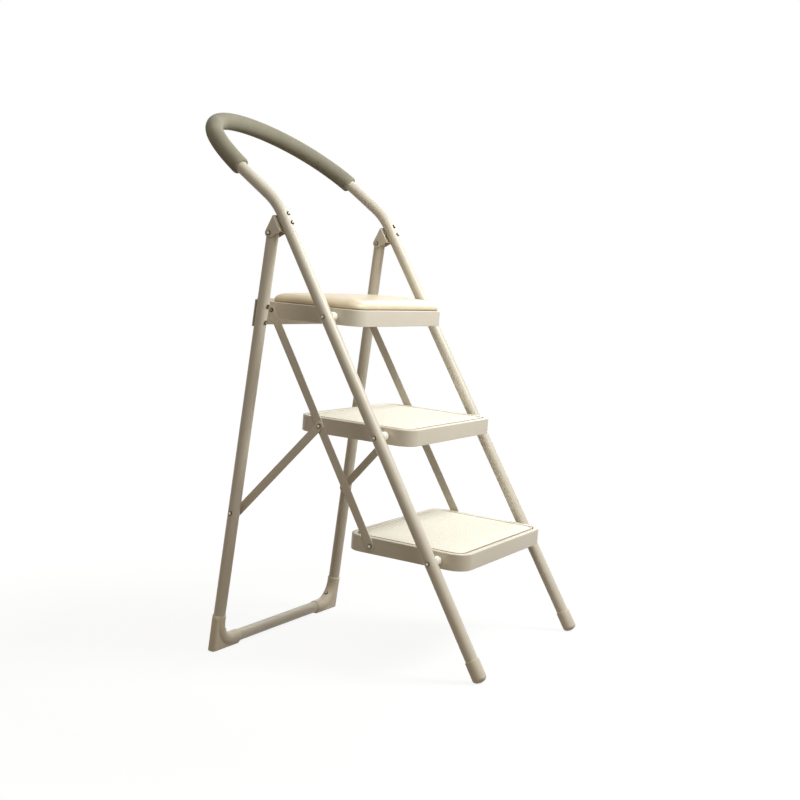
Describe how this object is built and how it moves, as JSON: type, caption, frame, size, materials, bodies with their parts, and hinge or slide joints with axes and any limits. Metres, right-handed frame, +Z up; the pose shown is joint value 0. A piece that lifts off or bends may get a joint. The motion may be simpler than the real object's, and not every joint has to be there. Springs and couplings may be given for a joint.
{
  "type": "folding step ladder",
  "caption": "Free-standing folding step ladder with tread pans, a cushioned top step and a padded hoop handle; its frames fold together and the steps fold with them.",
  "frame": {"origin": "on the floor, under the middle of the ladder's width and depth as it stands open", "axes": "+X along the width, +Z up, and the climber stands on the -Y side"},
  "size_m": [0.4818, 0.721, 1.1614],
  "materials": {
    "cream_paint": "satin",
    "bright_fixings": "bright",
    "foam": "matt foam",
    "vinyl": "satin",
    "board": "raw",
    "mat": "fine texture",
    "foot_plastic": "matt",
    "spacer_plastic": "smooth"
  },
  "bodies": {
    "front_frame": {"front_frame_tube": "cream_paint", "foam_grip": "foam", "left_front_foot": "foot_plastic", "right_front_foot": "foot_plastic", "left_hinge_bracket": "cream_paint", "right_hinge_bracket": "cream_paint", "left_bracket_rivet_lower": "bright_fixings", "left_bracket_rivet_upper": "bright_fixings", "right_bracket_rivet_lower": "bright_fixings", "right_bracket_rivet_upper": "bright_fixings", "left_hinge_rivet": "bright_fixings", "right_hinge_rivet": "bright_fixings", "left_bottom_step_bush": "spacer_plastic", "left_middle_step_bush": "spacer_plastic", "left_top_step_bush": "spacer_plastic", "right_bottom_step_bush": "spacer_plastic", "right_middle_step_bush": "spacer_plastic", "right_top_step_bush": "spacer_plastic", "left_bottom_step_rivet": "bright_fixings", "left_middle_step_rivet": "bright_fixings", "left_top_step_rivet": "bright_fixings", "right_bottom_step_rivet": "bright_fixings", "right_middle_step_rivet": "bright_fixings", "right_top_step_rivet": "bright_fixings"},
    "rear_frame": {"rear_frame_tube": "cream_paint", "rear_cross_rail": "cream_paint", "left_corner_shoe": "foot_plastic", "right_corner_shoe": "foot_plastic", "left_shoe_screw": "bright_fixings", "right_shoe_screw": "bright_fixings", "left_rail_rivet_lower": "bright_fixings", "left_rail_rivet_upper": "bright_fixings", "right_rail_rivet_lower": "bright_fixings", "right_rail_rivet_upper": "bright_fixings", "left_brace_rivet_outer": "bright_fixings", "right_brace_rivet_outer": "bright_fixings"},
    "bottom_step": {"bottom_step_pan": "cream_paint", "bottom_step_mat": "mat", "left_bottom_link_rivet": "bright_fixings", "right_bottom_link_rivet": "bright_fixings"},
    "middle_step": {"middle_step_pan": "cream_paint", "middle_step_mat": "mat", "left_middle_link_rivet": "bright_fixings", "right_middle_link_rivet": "bright_fixings"},
    "top_step": {"top_step_pan": "cream_paint", "seat_board": "board", "seat_cushion": "vinyl", "left_top_link_rivet": "bright_fixings", "right_top_link_rivet": "bright_fixings"},
    "left_link": {"left_link": "cream_paint"},
    "right_link": {"right_link": "cream_paint"},
    "left_brace": {"left_brace": "cream_paint", "left_brace_rivet_inner": "bright_fixings"},
    "right_brace": {"right_brace": "cream_paint", "right_brace_rivet_inner": "bright_fixings"}
  },
  "joints": [
    {"name": "rear_fold", "type": "hinge", "parent": "front_frame", "child": "rear_frame", "pos_m": [0, 0.09854, 0.86778], "axis": [-1, 0, 0], "range_deg": [0, 31.7]},
    {"name": "bottom_step_turn", "type": "hinge", "parent": "front_frame", "child": "bottom_step", "pos_m": [0, -0.2481, 0.21998], "axis": [1, 0, 0], "range_deg": [0, 49.9]},
    {"name": "middle_step_turn", "type": "hinge", "parent": "front_frame", "child": "middle_step", "pos_m": [0, -0.13658, 0.45761], "axis": [1, 0, 0], "range_deg": [0, 49.9]},
    {"name": "top_step_turn", "type": "hinge", "parent": "front_frame", "child": "top_step", "pos_m": [0, -0.02506, 0.69525], "axis": [1, 0, 0], "range_deg": [0, 49.9]},
    {"name": "left_link_turn", "type": "hinge", "parent": "middle_step", "child": "left_link", "pos_m": [0, 0.01429, 0.47614], "axis": [1, 0, 0], "range_deg": [-49.9, 0]},
    {"name": "right_link_turn", "type": "hinge", "parent": "middle_step", "child": "right_link", "pos_m": [0, 0.01429, 0.47614], "axis": [1, 0, 0], "range_deg": [-49.9, 0]},
    {"name": "left_brace_turn", "type": "hinge", "parent": "middle_step", "child": "left_brace", "pos_m": [0, 0.01429, 0.47614], "axis": [1, 0, 0], "range_deg": [-108.6, 0]},
    {"name": "right_brace_turn", "type": "hinge", "parent": "middle_step", "child": "right_brace", "pos_m": [0, 0.01429, 0.47614], "axis": [1, 0, 0], "range_deg": [-108.6, 0]}
  ],
  "couplings": [
    {"joint": "bottom_step_turn", "follows": "rear_fold", "ratio": 1.5713},
    {"joint": "middle_step_turn", "follows": "rear_fold", "ratio": 1.5713},
    {"joint": "top_step_turn", "follows": "rear_fold", "ratio": 1.5713},
    {"joint": "left_link_turn", "follows": "rear_fold", "ratio": -1.5713},
    {"joint": "right_link_turn", "follows": "rear_fold", "ratio": -1.5713},
    {"joint": "left_brace_turn", "follows": "rear_fold", "ratio": -3.4218},
    {"joint": "right_brace_turn", "follows": "rear_fold", "ratio": -3.4218}
  ]
}
